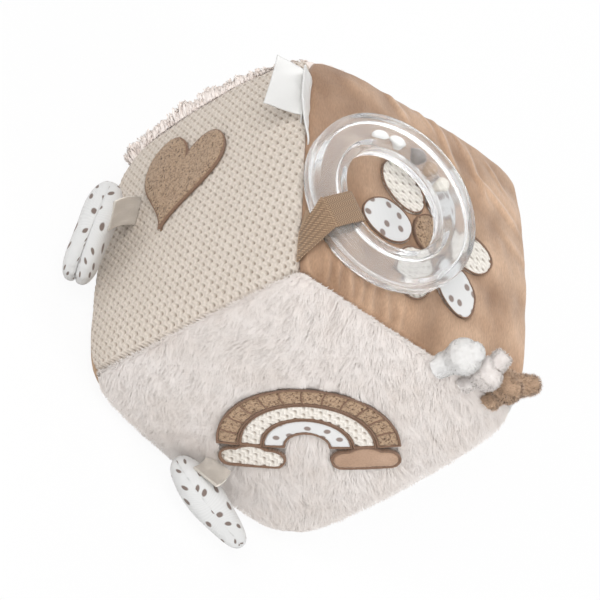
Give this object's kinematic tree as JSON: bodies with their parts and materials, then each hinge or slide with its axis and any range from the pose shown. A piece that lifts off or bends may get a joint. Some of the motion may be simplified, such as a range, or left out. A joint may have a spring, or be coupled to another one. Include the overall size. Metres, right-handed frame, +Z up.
{
  "type": "soft fabric block",
  "caption": "Soft stuffed fabric activity block for a baby, with a clear rattle ring on a tape, stuffed danglers, knotted tubes, blank labels and sewn-on shapes.",
  "frame": {"origin": "middle of the flat that the block rests on, on the floor", "axes": "+Z up out of the velour face with the ring, -Y out of the fur face, -X out of the openwork knit face"},
  "size_m": [0.1906, 0.2007, 0.1862],
  "materials": {
    "velour": "short velour pile",
    "fur": "soft long pile",
    "knit": "openwork cotton knit",
    "teddy": "curly teddy pile",
    "dotted_jersey": "dotted cotton jersey",
    "base_velour": "short velour pile",
    "fibre": "loose fibre fill",
    "brown_boucle": "curly brown knit",
    "ring_tape": "herringbone twill tape",
    "cream_tape": "cotton twill tape",
    "white_cloth": "soft white plush",
    "cream_plush": "soft cream plush",
    "brown_plush": "soft brown plush",
    "satin": "white satin",
    "clear_plastic": "clear moulded plastic",
    "white_bead": "gloss",
    "grey_bead": "gloss",
    "brown_bead": "gloss",
    "cream_bead": "gloss"
  },
  "bodies": {
    "block": {"velour_top_panel": "velour", "fur_front_panel": "fur", "knit_side_panel": "knit", "teddy_back_panel": "teddy", "dotted_side_panel": "dotted_jersey", "velour_base_panel": "base_velour", "fibre_filling": "fibre", "heart_patch": "brown_boucle", "flower_petal_knit_1": "knit", "flower_petal_knit_2": "knit", "flower_petal_knit_3": "knit", "flower_petal_dotted_1": "dotted_jersey", "flower_petal_dotted_2": "dotted_jersey", "flower_petal_dotted_3": "dotted_jersey", "flower_middle": "brown_boucle", "rainbow_outer_band": "brown_boucle", "rainbow_middle_band": "knit", "rainbow_inner_band": "dotted_jersey", "cloud_cream": "knit", "cloud_brown": "velour"},
    "tape_loop": {"ring_tape": "ring_tape"},
    "rattle_ring": {"ring_upper_shell": "clear_plastic", "ring_lower_shell": "clear_plastic"},
    "loose_beads": {"bead_white_1": "white_bead", "bead_white_2": "white_bead", "bead_grey": "grey_bead", "bead_brown": "brown_bead", "bead_cream": "cream_bead"},
    "side_pendant": {"side_tape": "cream_tape", "side_dangler": "dotted_jersey"},
    "front_pendant": {"front_tape": "cream_tape", "front_dangler": "dotted_jersey"},
    "white_tube": {"white_knot": "white_cloth"},
    "cream_tube": {"cream_knot": "cream_plush"},
    "brown_tube": {"brown_knot": "brown_plush"},
    "long_label": {"strip_label": "satin"},
    "folded_label": {"flap_label": "satin"}
  },
  "joints": [
    {"name": "ring_tape_swing", "type": "hinge", "parent": "block", "child": "tape_loop", "pos_m": [-0.07559, -0.06209, 0.14983], "axis": [0, 1, 0], "range_deg": [-90, 0]},
    {"name": "ring_turn", "type": "hinge", "parent": "tape_loop", "child": "rattle_ring", "pos_m": [-0.0391, -0.0223, 0.1693], "axis": [-0.2425, -0.0854, 0.9664], "continuous": true},
    {"name": "beads_roll", "type": "hinge", "parent": "rattle_ring", "child": "loose_beads", "pos_m": [-0.0391, -0.0223, 0.1693], "axis": [-0.2425, -0.0854, 0.9664], "continuous": true},
    {"name": "side_pendant_swing", "type": "hinge", "parent": "block", "child": "side_pendant", "pos_m": [-0.08028, 0.01596, 0.03936], "axis": [0, 0.9243, 0.3818], "range_deg": [0, 50]},
    {"name": "front_pendant_swing", "type": "hinge", "parent": "block", "child": "front_pendant", "pos_m": [0.00033, -0.08478, 0.02844], "axis": [-0.9759, 0.1952, 0.0976], "range_deg": [0, 50]},
    {"name": "white_tube_bend", "type": "hinge", "parent": "block", "child": "white_tube", "pos_m": [0.01683, -0.07645, 0.15612], "axis": [1, 0, 0], "range_deg": [-15, 45], "stiffness_Nm_per_rad": 0.02},
    {"name": "cream_tube_bend", "type": "hinge", "parent": "block", "child": "cream_tube", "pos_m": [0.03482, -0.07529, 0.15632], "axis": [1, 0, 0], "range_deg": [-15, 45], "stiffness_Nm_per_rad": 0.02},
    {"name": "brown_tube_bend", "type": "hinge", "parent": "block", "child": "brown_tube", "pos_m": [0.05319, -0.07357, 0.15595], "axis": [1, 0, 0], "range_deg": [-15, 45], "stiffness_Nm_per_rad": 0.02},
    {"name": "long_label_bend", "type": "hinge", "parent": "block", "child": "long_label", "pos_m": [-0.07589, 0.02584, 0.14705], "axis": [0.0465, 0.9947, -0.0914], "range_deg": [0, 35], "stiffness_Nm_per_rad": 0.002},
    {"name": "folded_label_bend", "type": "hinge", "parent": "block", "child": "folded_label", "pos_m": [-0.07686, 0.03025, 0.14556], "axis": [0.0531, 0.9938, -0.0977], "range_deg": [-40, 0], "stiffness_Nm_per_rad": 0.002}
  ]
}
